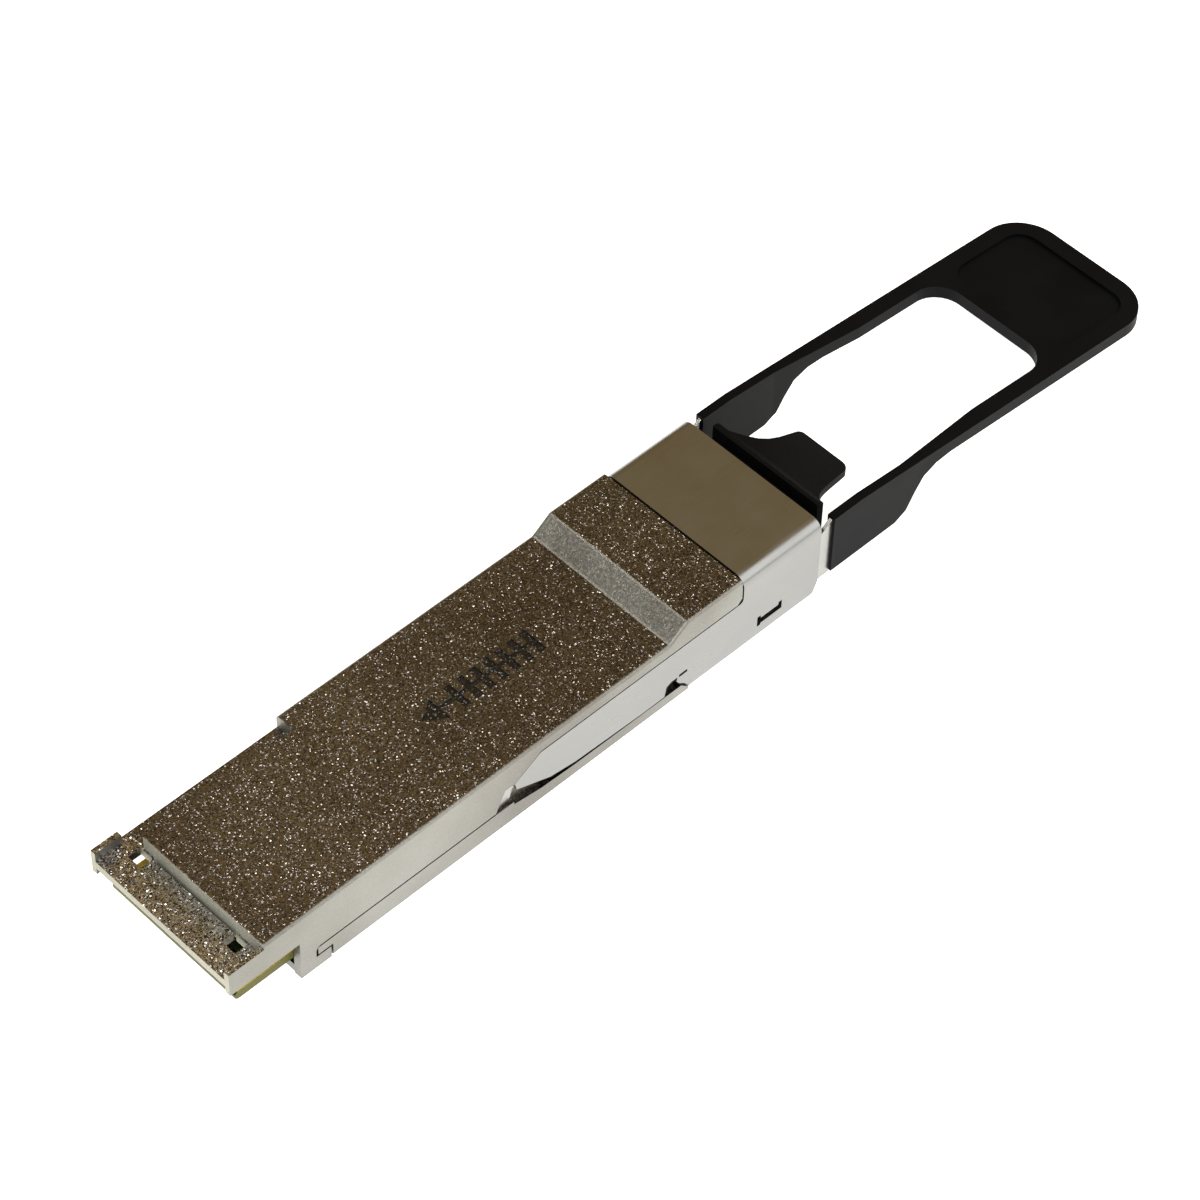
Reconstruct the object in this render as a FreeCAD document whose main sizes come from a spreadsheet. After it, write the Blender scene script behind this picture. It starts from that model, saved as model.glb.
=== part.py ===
import FreeCAD, Part
import os
import Sketcher
from types import SimpleNamespace

# Pluggable optical transceiver module with pull tab and dust plug.
# Frame: +X runs from the card-edge end to the pull tab, +Z is the heat-sink side.
# Every length below is measured from the rear of the hood (X) and the underside (Z);
# each sub-part is then moved back by half the total length, so the row's origin is
# the middle of its underside.

doc = FreeCAD.newDocument("OpticalTransceiver")

SIZE_TABLE = [
    ("total_length", 120.4, "rear of hood to end of pull tab"),
    ("half_width", 9.175, "half the 18.35 mm module width"),
    ("main_height", 8.5, "height of the part inside the cage"),
    ("front_height", 10.1, "height of the part outside the cage"),
    ("body_length", 72.4, "rear of hood to front of steel sleeve"),
    ("split_height", 2.85, "height of the joint between the two shells"),
    ("hood_reach", 7.9, "length of the hood over the card edge"),
    ("hood_top", 6.85, "top of the lowered rear land"),
    ("hood_under", 5.9, "underside of the hood plate"),
    ("hood_side_low", 5.1, "lower edge of the hood side walls"),
    ("rail_top", 8.0, "top of the rails beside the rear land"),
    ("rail_inner", 8.575, "half distance between the rear rails"),
    ("land_length", 4.05, "length of the rear land"),
    ("key_end", 21.4, "front end of the side key strip"),
    ("key_inner", 6.9, "inner edge of the side key strip"),
    ("wall_inner", 8.275, "half distance between the side walls"),
    ("channel_inner", 7.9, "half distance between walls beside the latch arms"),
    ("channel_wall", 8.4, "bottom of the latch arm channels"),
    ("roof_under", 7.3, "underside of the main roof"),
    ("ramp_start", 52.7, "where the top starts to rise"),
    ("ramp_end", 54.9, "where the top has risen"),
    ("sleeve_start", 62.2, "rear edge of the sleeve's top"),
    ("sheet_metal", 0.3, "sleeve sheet thickness"),
    ("sleeve_floor_start", 55.6, "rear edge of the sleeve's floor"),
    ("arm_top", 7.0, "upper edge of the sleeve's side arms"),
    ("slider_inner", 8.45, "inner face of the latch arms"),
    ("slider_outer", 8.83, "outer face of the latch arms"),
    ("card_low", 2.2, "underside of the circuit card"),
    ("card_high", 3.2, "top of the circuit card"),
    ("card_rear", 1.24, "rear edge of the circuit card"),
    ("card_front", 48.5, "front edge of the circuit card"),
    ("card_half_width", 8.21, "half the card-edge width"),
    ("pad_pitch", 0.8, "contact pitch"),
    ("tab_start", 74.2, "rear face of the pull tab arms"),
    ("tab_half_width", 9.15, "half the pull tab width"),
    ("tab_top", 9.2, "top of the pull tab at its arms"),
    ("tab_droop", 3.8, "how far the pull tab falls towards its end"),
    ("rail_thickness", 1.5, "thickness of the pull tab loop"),
    ("plug_half_width", 8.1, "half the dust plug flange"),
    ("port_half_width", 6.45, "half the port cavity"),
    ("port_low", 1.8, "floor of the port cavity"),
    ("port_high", 8.75, "roof of the port cavity"),
    ("fibre_height", 5.2, "height of the fibre row"),
    ("crossbar_start", 49.0, "rear face of the wall behind the port"),
    ("crossbar_end", 57.0, "front face of the wall behind the port"),
    ("screw_x", 51.5, "position of the shell screws along the module"),
    ("screw_y", 6.6, "half distance between the shell screws"),
    ("mark_middle", -0.2, "middle of the engraved mark across the module"),
    ("spring_pitch", 0.8, "pitch of the return springs"),
    ("spring_length", 7.0, "length of the return springs"),
    ("spring_radius", 0.55, "mean radius of the return springs"),
    ("spring_wire", 0.1, "radius of the return spring wire"),
]


class Dim:
    """A length that carries both its number and the sheet formula that gives it."""

    def __init__(self, value, text):
        self.value = value
        self.text = text

    def __add__(self, other):
        other = dim(other)
        return Dim(self.value + other.value, "(%s + %s)" % (self.text, other.text))

    def __sub__(self, other):
        other = dim(other)
        return Dim(self.value - other.value, "(%s - %s)" % (self.text, other.text))

    def __mul__(self, factor):
        return Dim(self.value * factor, "(%s * %s)" % (self.text, factor))

    def __neg__(self):
        return self * -1


def dim(value):
    """Give a plain number the same form as a length from the sheet."""
    return value if isinstance(value, Dim) else Dim(float(value), repr(float(value)))


sheet = doc.addObject("Spreadsheet::Sheet", "Sizes")
lengths = {}
for row, (alias, number, meaning) in enumerate(SIZE_TABLE, start=1):
    sheet.set("A%d" % row, meaning)
    sheet.set("B%d" % row, str(number))
    sheet.setAlias("B%d" % row, alias)
    lengths[alias] = Dim(number, "Sizes." + alias)
size = SimpleNamespace(**lengths)
doc.recompute()

FRAME_SHIFT = size.total_length * -0.5
SUB_PARTS = []
PLANES = {"top": "XY_Plane", "side": "XZ_Plane", "end": "YZ_Plane"}


def new_body(label):
    """Start a sub-part made of sketches and features."""
    body = doc.addObject("PartDesign::Body", label)
    body.Label = label
    body.setExpression("Placement.Base.x", FRAME_SHIFT.text)
    SUB_PARTS.append(body)
    return body


def outline(body, view, points, offset):
    """Draw a closed straight-sided outline, each corner held by two sheet-driven dimensions."""
    plane = [item for item in body.Origin.OriginFeatures if item.Role == PLANES[view]][0]
    sketch = body.newObject("Sketcher::SketchObject", body.Name + "_outline")
    sketch.AttachmentSupport = [(plane, "")]
    sketch.MapMode = "FlatFace"
    sketch.AttachmentOffset = FreeCAD.Placement(FreeCAD.Vector(0, 0, offset.value), FreeCAD.Rotation())
    sketch.setExpression("AttachmentOffset.Base.z", offset.text)
    corners = [(dim(u), dim(v)) for u, v in points]
    for index, (u, v) in enumerate(corners):
        next_u, next_v = corners[(index + 1) % len(corners)]
        start = FreeCAD.Vector(u.value, v.value, 0)
        end = FreeCAD.Vector(next_u.value, next_v.value, 0)
        sketch.addGeometry(Part.LineSegment(start, end), False)
    for index, (u, v) in enumerate(corners):
        sketch.addConstraint(Sketcher.Constraint("Coincident", index, 2, (index + 1) % len(corners), 1))
        for kind, length in (("DistanceX", u), ("DistanceY", v)):
            number = sketch.addConstraint(Sketcher.Constraint(kind, -1, 1, index, 1, length.value))
            sketch.setExpression("Constraints[%d]" % number, length.text)
    return sketch


def prism(body, kind, view, points, low, high):
    """Pad or pocket an outline between two positions along the view's own axis."""
    low, high = dim(low), dim(high)
    start = low if kind == "PartDesign::Pad" else high
    if view == "side":
        start = -high if kind == "PartDesign::Pad" else -low
    sketch = outline(body, view, points, start)
    feature = body.newObject(kind, body.Name + "_feature")
    feature.Profile = sketch
    feature.setExpression("Length", (high - low).text)
    doc.recompute()
    return feature


def add(body, view, points, low, high):
    """Add material between two positions."""
    return prism(body, "PartDesign::Pad", view, points, low, high)


def cut(body, view, points, low, high):
    """Take material away between two positions, and make sure some was there."""
    before = body.Shape.Volume
    feature = prism(body, "PartDesign::Pocket", view, points, low, high)
    if not body.Shape.Volume < before - 1e-6:
        raise RuntimeError("a pocket in %s removes nothing" % body.Label)
    return feature


def cut_both_sides(body, view, points, near, far):
    """Take the same material away on the left and on the right."""
    if view == "side":
        cut(body, view, points, near, far)
        cut(body, view, points, -dim(far), -dim(near))
    else:
        cut(body, view, points, near, far)
        cut(body, view, [(u, -dim(v)) for u, v in points], near, far)


def box_outline(u_low, u_high, v_low, v_high):
    """Corners of a rectangle."""
    return [(u_low, v_low), (u_high, v_low), (u_high, v_high), (u_low, v_high)]


def drill(body, view, u, v, radius, low, high):
    """Drill a round hole between two positions along the view's own axis."""
    high = dim(high)
    plane = [item for item in body.Origin.OriginFeatures if item.Role == PLANES[view]][0]
    sketch = body.newObject("Sketcher::SketchObject", body.Name + "_hole")
    sketch.AttachmentSupport = [(plane, "")]
    sketch.MapMode = "FlatFace"
    sketch.AttachmentOffset = FreeCAD.Placement(FreeCAD.Vector(0, 0, high.value), FreeCAD.Rotation())
    sketch.setExpression("AttachmentOffset.Base.z", high.text)
    centre = FreeCAD.Vector(dim(u).value, dim(v).value, 0)
    sketch.addGeometry(Part.Circle(centre, FreeCAD.Vector(0, 0, 1), radius))
    for kind, length in (("DistanceX", dim(u)), ("DistanceY", dim(v))):
        number = sketch.addConstraint(Sketcher.Constraint(kind, -1, 1, 0, 3, length.value))
        sketch.setExpression("Constraints[%d]" % number, length.text)
    sketch.addConstraint(Sketcher.Constraint("Radius", 0, radius))
    pocket = body.newObject("PartDesign::Pocket", body.Name + "_drilling")
    pocket.Profile = sketch
    pocket.setExpression("Length", (high - low).text)
    doc.recompute()


def soften(body, kind, chosen, amount):
    """Round or bevel the straight edges whose two end points satisfy the given test."""
    tip = body.Tip
    shape = tip.Shape
    names = []
    for index, edge in enumerate(shape.Edges, start=1):
        if edge.Curve.TypeId != "Part::GeomLine":
            continue
        ends = [vertex.Point for vertex in edge.Vertexes]
        if len(ends) == 2 and all(chosen(point, (ends[1] - ends[0]).normalize()) for point in ends):
            names.append("Edge%d" % index)
    if not names:
        raise RuntimeError("no edge found to soften in " + body.Label)
    feature = body.newObject(kind, body.Name + "_edges")
    feature.Base = (tip, names)
    feature.setExpression("Radius" if kind == "PartDesign::Fillet" else "Size", dim(amount).text)
    doc.recompute()
    if feature.Shape.isNull() or not feature.Shape.isValid():
        raise RuntimeError("edges of %s can't be softened" % body.Label)
    return feature


def near(number, target, slack=0.03):
    """True when a number is at a target length."""
    return abs(number - dim(target).value) < slack


def upright_at(places):
    """Test for vertical edges standing at the given plan positions."""
    def test(point, direction):
        upright = abs(direction.z) > 0.99
        return upright and any(near(point.x, x) and near(abs(point.y), y) for x, y in places)
    return test


def crosswise_at(places):
    """Test for edges running across the module at the given side-view positions."""
    def test(point, direction):
        crosswise = abs(direction.y) > 0.99
        return crosswise and any(near(point.x, x) and near(point.z, z) for x, z in places)
    return test


def lengthwise_at(places):
    """Test for edges running along the module at the given end-view positions."""
    def test(point, direction):
        lengthwise = abs(direction.x) > 0.8 and abs(direction.y) < 0.1
        return lengthwise and any(near(abs(point.y), y) and near(point.z, z) for y, z in places)
    return test


def block(name, x_low, x_high, y_low, y_high, z_low, z_high, shift=FRAME_SHIFT):
    """A plain box between pairs of positions."""
    box = doc.addObject("Part::Box", name)
    for side, low, high in (("Length", x_low, x_high), ("Width", y_low, y_high), ("Height", z_low, z_high)):
        box.setExpression(side, (dim(high) - low).text)
    for axis, low in (("x", dim(x_low) + shift), ("y", dim(y_low)), ("z", dim(z_low))):
        box.setExpression("Placement.Base." + axis, low.text)
    return box


def single_block(name, *limits):
    """A sub-part that is one plain box."""
    box = block(name, *limits)
    box.Label = name
    SUB_PARTS.append(box)
    return box


def rod(name, radius, x, y, z, length, along_x=False):
    """A plain cylinder standing up from a point, or lying along the module."""
    cylinder = doc.addObject("Part::Cylinder", name)
    cylinder.setExpression("Radius", dim(radius).text)
    cylinder.setExpression("Height", dim(length).text)
    if along_x:
        cylinder.Placement.Rotation = FreeCAD.Rotation(FreeCAD.Vector(0, 1, 0), 90)
    for axis, place in (("x", dim(x) + FRAME_SHIFT), ("y", dim(y)), ("z", dim(z))):
        cylinder.setExpression("Placement.Base." + axis, place.text)
    return cylinder


def group(label, members):
    """A sub-part made of several identical separate pieces."""
    compound = doc.addObject("Part::Compound", label)
    compound.Label = label
    compound.Links = members
    SUB_PARTS.append(compound)
    return compound


# ---------------------------------------------------------------- housing
ARM_RECESS = [
    (31.05, size.split_height - 0.05),
    (size.body_length, size.split_height - 0.05),
    (size.body_length, size.arm_top + 0.15),
    (36.6, size.arm_top + 0.15),
    (33.4, 5.2),
    (32.2, 5.2),
]
STUB = size.body_length - 0.3


def mark_outline():
    """Plain arrow with seven cross bars, pointing to the card-edge end."""
    upper = [(32.6, 1.5), (32.6, 0.25)]
    for bar in range(7):
        start = 34.3 + 1.55 * bar
        upper += [(start, 0.25), (start, 1.5), (start + 0.8, 1.5)]
        if bar < 6:
            upper.append((start + 0.8, 0.25))
    lower = [(x, -y) for x, y in reversed(upper)]
    return [(x, size.mark_middle + y) for x, y in [(30.3, 0)] + upper + lower]


def make_top_shell():
    """Die-cast upper shell: hood, heat-sink face, ramp, platform and port frame."""
    body = new_body("top_shell")
    add(body, "side", [
        (0, size.hood_side_low),
        (size.hood_reach, size.hood_side_low),
        (size.hood_reach, 0),
        (11.4, 0),
        (11.4, 1.5),
        (9.7, 1.5),
        (9.7, size.split_height),
        (STUB, size.split_height),
        (STUB, size.front_height - size.sheet_metal),
        (size.sleeve_start, size.front_height - size.sheet_metal),
        (size.sleeve_start, size.front_height - 0.9),
        (size.sleeve_start - 0.25, size.front_height - 0.9),
        (size.sleeve_start - 0.25, size.front_height),
        (size.ramp_end, size.front_height),
        (size.ramp_start, size.main_height),
        (0, size.main_height),
    ], -size.half_width, size.half_width)

    soften(body, "PartDesign::Fillet", crosswise_at([
        (size.ramp_start, size.main_height), (size.ramp_end, size.front_height)]), 0.5)

    def on_top_rim(point, direction):
        beside = near(abs(point.y), size.half_width) and abs(direction.x) > 0.5
        return beside and point.z > size.main_height.value - 0.05 and point.x < size.sleeve_start.value

    soften(body, "PartDesign::Fillet", on_top_rim, 0.35)
    soften(body, "PartDesign::Fillet", crosswise_at([(9.7, size.split_height)]), 0.6)
    cut(body, "side", box_outline(-1, size.land_length, size.rail_top, 9), -size.half_width, size.half_width)
    cut(body, "top", box_outline(-1, size.land_length, -size.rail_inner, size.rail_inner), size.hood_top, 9)
    cut(body, "top", box_outline(3.0, size.key_end, size.key_inner, 9.5), size.hood_top, 9)
    cut(body, "side", box_outline(-1, size.hood_reach, 5.0, size.hood_under), -size.rail_inner, size.rail_inner)
    cut(body, "top", [
        (size.hood_reach - 0.1, -size.wall_inner), (30, -size.wall_inner),
        (30, -size.channel_inner), (size.crossbar_start, -size.channel_inner),
        (size.crossbar_start, size.channel_inner), (30, size.channel_inner),
        (30, size.wall_inner), (size.hood_reach - 0.1, size.wall_inner),
    ], -0.5, 6.0)
    cut(body, "top", box_outline(5.2, 23, -6.3, 6.3), 5.8, size.roof_under)
    cut(body, "top", box_outline(22.9, size.crossbar_start, -size.channel_inner, size.channel_inner),
        5.9, size.roof_under)
    cut(body, "top", box_outline(48.9, size.crossbar_end + 0.1, -5, 5), 2.5, 7.0)
    cut(body, "top", box_outline(size.crossbar_end, 73, -size.port_half_width, size.port_half_width),
        2.5, size.port_high)
    cut_both_sides(body, "side", ARM_RECESS, size.channel_wall, 9.5)
    cut_both_sides(body, "side", box_outline(size.sleeve_start - 0.2, 73, 2.5, 10.5), size.channel_wall, 9.5)
    soften(body, "PartDesign::Chamfer",
           lengthwise_at([(size.channel_wall, size.front_height - size.sheet_metal)]), 0.7)
    cut_both_sides(body, "side", [
        (size.sleeve_start - 0.9, size.arm_top), (size.sleeve_start, size.arm_top),
        (size.sleeve_start, size.arm_top + 0.9),
    ], size.channel_wall, 9.5)
    for x_low, x_high, y_outer, roof in ((13, 15, size.wall_inner, 6.1),
                                         (44, 46, size.channel_inner, size.roof_under + 0.1)):
        for side in (-1, 1):
            edges = sorted((dim(6.6) * side, (y_outer + 0.05) * side), key=lambda length: length.value)
            add(body, "top", box_outline(x_low, x_high, edges[0], edges[1]), size.card_high, roof)
    cut_both_sides(body, "top", box_outline(2.45, 3.85, 5.4, 7.1), 5.0, 8)
    cut(body, "top", box_outline(3.8, size.land_length, -5.6, 5.6), 5.0, size.hood_top + 0.1)
    cut(body, "top", mark_outline(), size.main_height - 0.12, 9)
    for side in (-1, 1):
        drill(body, "top", size.screw_x, size.screw_y * side, 0.7, 2.5, 6.2)
    return body


def make_bottom_shell():
    """Die-cast lower shell: floor, ledges, card rests, spring pockets."""
    body = new_body("bottom_shell")
    add(body, "side", [
        (size.hood_reach + 0.1, 0),
        (size.sleeve_floor_start - 0.2, 0),
        (size.sleeve_floor_start - 0.2, size.sheet_metal),
        (STUB, size.sheet_metal),
        (STUB, size.split_height),
        (size.hood_reach + 0.1, size.split_height),
    ], -size.half_width, size.half_width)
    soften(body, "PartDesign::Fillet", lengthwise_at([(size.half_width, 0)]), 0.3)
    cut_both_sides(body, "top", box_outline(7, 9.75, size.channel_wall - 0.18, 9.5), -0.5, 3.5)
    cut_both_sides(body, "top", box_outline(7, 11.45, size.channel_wall - 0.18, 9.5), -0.5, 1.54)
    soften(body, "PartDesign::Fillet", crosswise_at([(9.75, size.split_height)]), 0.6)
    cut(body, "top", [
        (7, -size.wall_inner), (30, -size.wall_inner),
        (30, -size.channel_inner), (size.crossbar_start, -size.channel_inner),
        (size.crossbar_start, size.channel_inner), (30, size.channel_inner),
        (30, size.wall_inner), (7, size.wall_inner),
    ], 1.0, 3.5)
    cut(body, "top", box_outline(size.crossbar_end, 73, -size.port_half_width, size.port_half_width),
        size.port_low, 3.5)
    cut_both_sides(body, "side", [
        (33.3, 3.5), (33.3, 2.3), (36.7, 1.75), (41, 1.55), (54.4, 1.45), (55.5, 0.4), (55.5, 3.5),
    ], size.channel_wall, 9.5)
    cut_both_sides(body, "side", box_outline(size.sleeve_floor_start - 0.2, 73, -0.5, 3.5), 8.825, 9.5)
    cut_both_sides(body, "side", box_outline(59.9, 73, -0.5, 3.5), size.channel_wall, 9.5)
    for side in (-1, 1):
        cut(body, "end", [(8.1 * side, 0), (9.5 * side, 0), (9.5 * side, 1.75)], size.sleeve_floor_start - 0.2, 73)
    cut(body, "side", box_outline(59.9, 69.4, 0, 0.8), -size.half_width, size.half_width)
    cut_both_sides(body, "top", box_outline(61.5, 69.4, 6.75, 8.15), 0.5, 3.5)
    cut_both_sides(body, "side", box_outline(64.0, 68.2, 1.6, 3.5), 8.0, 9.5)
    for x_low, x_high, z_low, z_high in ((9.7, 33.4, 2.67, 3.5), (9.6, 9.93, 1.4, 3.5),
                                         (9.6, 11.63, 1.4, 1.7), (11.4, 11.63, -0.5, 1.7)):
        cut_both_sides(body, "side", box_outline(x_low, x_high, z_low, z_high), 8.8, 9.5)
    for x_low, x_high, y_outer in ((13, 15, size.wall_inner), (44, 46, size.channel_inner)):
        for side in (-1, 1):
            edges = sorted((dim(6.6) * side, (y_outer + 0.05) * side), key=lambda length: length.value)
            add(body, "top", box_outline(x_low, x_high, edges[0], edges[1]), 0.9, size.card_low)
    cut(body, "top", box_outline(18, 46, -7, 7), -0.5, 0.12)
    for side in (-1, 1):
        for radius, depth in ((0.75, 3.5), (1.4, 0.65)):
            drill(body, "top", size.screw_x, size.screw_y * side, radius, 0, depth)
    return body


def make_front_sleeve():
    """Folded steel sleeve around the front, with two arms along the sides."""
    body = new_body("front_sleeve")
    add(body, "end", box_outline(-size.half_width, size.half_width, 0, size.front_height),
        33, size.body_length)
    inner = size.half_width - size.sheet_metal
    roof = size.front_height - size.sheet_metal
    cut(body, "end", box_outline(-inner, inner, size.sheet_metal, roof), 32, 73)
    for y, z, radius in ((inner, roof, 1.0), (inner, size.sheet_metal, 0.5),
                         (size.half_width, size.front_height, 1.3), (size.half_width, 0, 0.8)):
        soften(body, "PartDesign::Fillet", lengthwise_at([(y, z)]), radius)
    cut(body, "side", [
        (32, size.arm_top), (size.sleeve_start, size.arm_top), (size.sleeve_start, 11), (32, 11),
    ], -9.5, 9.5)
    cut(body, "side", [
        (32, -1), (size.sleeve_floor_start, -1), (size.sleeve_floor_start, 0.5), (54.8, 1.5), (52.2, 1.6),
        (49, 1.6), (41, 1.9), (37.8, 2.4), (33.6, 4.2), (33.4, 5.15), (36.7, 7.1), (32, 7.1),
    ], -9.5, 9.5)
    soften(body, "PartDesign::Fillet", crosswise_at([(size.sleeve_start, size.arm_top)]), 0.5)
    cut(body, "side", [
        (52.2, 1.5), (54.9, 1.4), (54.1, 2.05), (53.75, 2.55), (53.85, 3.1), (53.1, 3.1), (52.45, 2.8),
    ], -9.5, 9.5)
    for x_low, x_high, z_low, z_high in ((54.05, 55.1, 2.95, 3.3), (64.3, 67.55, 2.0, 2.75),
                                         (64.3, 64.75, 1.8, 3.1), (67.1, 67.55, 2.0, 3.1)):
        cut(body, "side", box_outline(x_low, x_high, z_low, z_high), -9.5, 9.5)
    cut(body, "side", [(73, 2.0), (size.body_length, 2.0), (71.9, 0.8), (71.0, -0.5), (73, -0.5)], -9.5, 9.5)
    return body


def make_shell_screws():
    """Two small socket screws that hold the shells together from below."""
    screws = []
    for side in (-1, 1):
        head = rod("screw_head", 1.35, size.screw_x, size.screw_y * side, 0.05, 0.6)
        shank = rod("screw_shank", 0.7, size.screw_x, size.screw_y * side, 0.6, 5.4)
        whole = doc.addObject("Part::MultiFuse", "screw_blank")
        whole.Shapes = [head, shank]
        socket = doc.addObject("Part::Prism", "screw_socket")
        socket.Polygon = 6
        socket.Circumradius = 0.55
        socket.Height = 0.45
        for axis, place in (("x", size.screw_x + FRAME_SHIFT), ("y", size.screw_y * side), ("z", dim(0))):
            socket.setExpression("Placement.Base." + axis, place.text)
        screw = doc.addObject("Part::Cut", "screw")
        screw.Base = whole
        screw.Tool = socket
        screws.append(screw)
    return group("shell_screws", screws)


# ---------------------------------------------------------------- card and optics
def make_paddle_card():
    """Circuit card whose bevelled rear edge plugs into the host connector."""
    body = new_body("paddle_card")
    add(body, "side", [
        (size.card_rear + 0.3, size.card_low), (size.card_front, size.card_low),
        (size.card_front, size.card_high), (size.card_rear + 0.3, size.card_high),
        (size.card_rear, size.card_high - 0.3), (size.card_rear, size.card_low + 0.3),
    ], -size.card_half_width, size.card_half_width)
    cut_both_sides(body, "top", box_outline(28, 50, 7.8, 9), 2, 4)
    return body


def make_contact_pads():
    """Gold contact fingers in one row above and one row below the card edge."""
    pads = []
    for level, low, high in (("upper", size.card_high, size.card_high + 0.04),
                             ("lower", size.card_low - 0.04, size.card_low)):
        for index in range(19):
            middle = size.pad_pitch * (index - 9)
            pads.append(block(level + "_pad", 1.75, 4.3, middle - 0.27, middle + 0.27, low, high))
    return group("contact_pads", pads)


def make_chip_capacitors():
    """Small supply capacitors on top of the card."""
    places = [(17, -5.6), (18.6, -5.6), (17, 5.6), (18.6, 5.6), (31, -4), (31, -2.4),
              (31, 2.4), (33, 6), (34.6, 6), (33, -6), (34.6, -6), (10.5, 0), (12.1, 0)]
    pieces = [block("capacitor", x, dim(x) + 1.0, y, dim(y) + 0.5, size.card_high, size.card_high + 0.5)
              for x, y in places]
    return group("chip_capacitors", pieces)


def make_lens_block():
    """Clear moulded block that folds the light paths over the laser and detector dies."""
    body = new_body("lens_block")
    add(body, "top", box_outline(41.5, 47.5, -3.6, 3.6), size.card_high, size.card_high + 2.4)
    cut(body, "top", box_outline(42.4, 45.2, -2.8, 2.8), 3.0, size.card_high + 0.7)
    cut(body, "side", [(43, 6), (44.6, 6), (44.6, 4.5)], -2.2, 2.2)
    return body


def make_fibre_ribbon():
    """Flat fibre ribbon from the lens block to the back of the ferrule."""
    body = new_body("fibre_ribbon")
    middle = size.fibre_height
    add(body, "side", [
        (47.5, 4.45), (50, 4.45), (55, middle - 0.15), (59.5, middle - 0.15),
        (59.5, middle + 0.15), (55, middle + 0.15), (50, 4.75), (47.5, 4.75),
    ], -1.6, 1.6)
    return body


def make_ferrule():
    """Multi-fibre ferrule with a rear flange and two guide-pin holes."""
    body = new_body("ferrule")
    middle = size.fibre_height
    add(body, "top", box_outline(59.5, 67.5, -3.2, 3.2), middle - 1.25, middle + 1.25)
    add(body, "top", box_outline(59.5, 61.3, -3.5, 3.5), middle - 1.5, middle + 1.5)
    for side in (-1, 1):
        drill(body, "end", 2.3 * side, middle, 0.35, 59, 68)
    return body


def make_ferrule_holder():
    """Clamp plate behind the ferrule that carries the guide pins."""
    body = new_body("ferrule_holder")
    middle = size.fibre_height
    add(body, "top", box_outline(58.2, 59.5, -3.6, 3.6), middle - 1.6, middle + 1.7)
    cut(body, "top", box_outline(58, 60, -1.6, 1.6), middle - 0.15, middle + 0.15)
    for side in (-1, 1):
        drill(body, "end", 2.3 * side, middle, 0.35, 58, 60)
    return body


def make_guide_pins():
    """Two steel pins that line the cable's connector up with the ferrule."""
    pins = [rod("guide_pin", 0.35, 58.4, 2.3 * side, size.fibre_height, 10.6, along_x=True) for side in (-1, 1)]
    return group("guide_pins", pins)


def make_port_receptacle():
    """Moulded receptacle for the cable's connector, with two latch prongs."""
    body = new_body("port_receptacle")
    outer = size.port_half_width - 0.05
    low = size.port_low + 0.05
    high = size.port_high - 0.05
    add(body, "top", box_outline(57.2, 71.9, -outer, outer), low, high)
    cut(body, "end", box_outline(-6.0, 6.0, low + 0.2, high - 0.25), 60, 73)
    cut(body, "end", box_outline(-3.6, 3.6, size.fibre_height - 1.6, size.fibre_height + 1.7), 57, 61)
    cut(body, "end", box_outline(-1.6, 1.6, high - 0.3, high - 0.1), 62, 73)
    add(body, "side", box_outline(59.9, 68, 4.2, 6.4), 4.3, 4.8)
    add(body, "side", box_outline(59.9, 68, 4.2, 6.4), -4.8, -4.3)
    cut_both_sides(body, "side", box_outline(62.5, 63.7, 1, 9), outer - 0.25, 7)
    cut(body, "side", box_outline(62.5, 63.7, high - 0.06, 9), -7, 7)
    return body


def make_emi_gasket():
    """Two conductive strips that close the gaps beside the receptacle."""
    strips = [
        block("gasket_strip", 62.5, 63.7, size.port_half_width - 0.3, size.port_half_width, 1.9, 8.6),
        block("gasket_strip", 62.5, 63.7, -size.port_half_width, -size.port_half_width + 0.3, 1.9, 8.6),
    ]
    return group("emi_gasket", strips)


# ---------------------------------------------------------------- latch, tab and plug
def make_latch_slider():
    """Steel U-shaped slider: two side arms with ejector tips, a bridge and two front blades."""
    body = new_body("latch_slider")
    add(body, "side", [
        (31.3, 2.95), (33.0, 2.95), (33.35, 4.3), (60, 4.3), (60, 0.35), (67, 0.35), (67, 1.6),
        (size.tab_start, 1.6), (size.tab_start, 3.0), (79, 3.0), (79, 8.0), (size.tab_start, 8.0),
        (size.tab_start, 8.9), (72.6, 7.8), (67, 7.8), (67, 6.3), (36, 6.3), (33.4, 5.0), (32.35, 5.0),
    ], -size.slider_outer, size.slider_outer)
    soften(body, "PartDesign::Fillet", lengthwise_at([(size.slider_outer, 0.35)]), 0.45)
    cut(body, "top", box_outline(30, 80, -size.slider_inner, size.slider_inner), 0.75, 10)
    cut_both_sides(body, "side", box_outline(63.8, 68.2, 1.75, 3.4), 8.3, 9.0)
    for side in (-1, 1):
        edges = sorted((dim(6.85) * side, dim(8.05) * side), key=lambda length: length.value)
        add(body, "side", box_outline(61.6, 62.0, 0.7, 2.6), edges[0], edges[1])
    return body


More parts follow.
